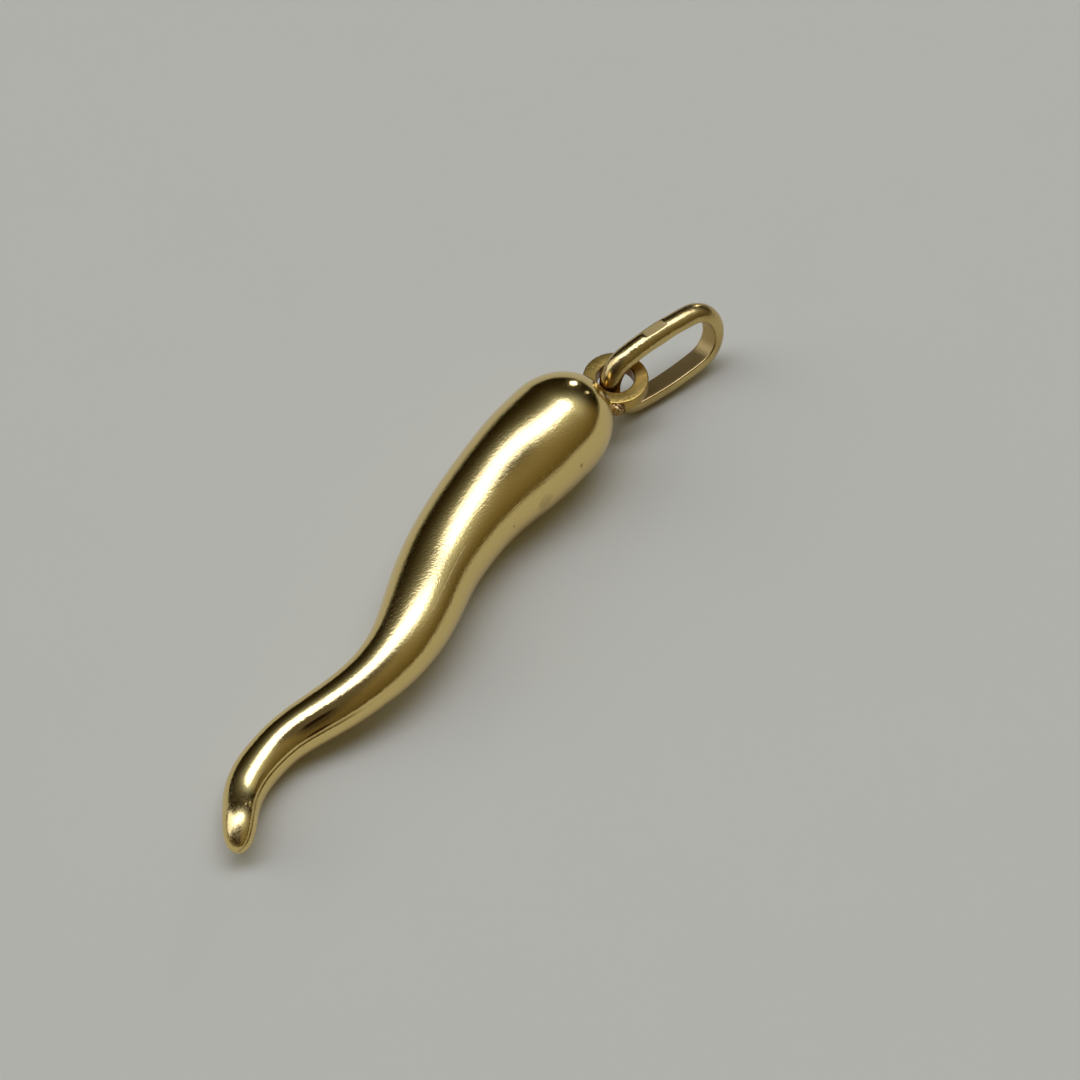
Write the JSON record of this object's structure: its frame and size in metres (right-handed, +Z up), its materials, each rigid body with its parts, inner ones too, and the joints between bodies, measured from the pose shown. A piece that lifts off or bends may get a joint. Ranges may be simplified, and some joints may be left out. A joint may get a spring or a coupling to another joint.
{
  "type": "horn charm pendant",
  "caption": "Polished gold horn charm lying on its side, with a flat washer eyelet soldered to the head and an oval half-round wire bail passing through it to take a chain.",
  "frame": {"origin": "on the surface that the charm lies on, under the middle of the box of the whole charm", "axes": "Z is up, away from the surface. X runs along the horn, from the tip at -X to the bail at +X. Y is level, across the horn, and the tail bends to +Y."},
  "size_m": [0.0324, 0.0054, 0.0047],
  "materials": {
    "gold": "polished yellow gold"
  },
  "bodies": {
    "root": {"horn": "gold", "bail": "gold"}
  },
  "joints": []
}
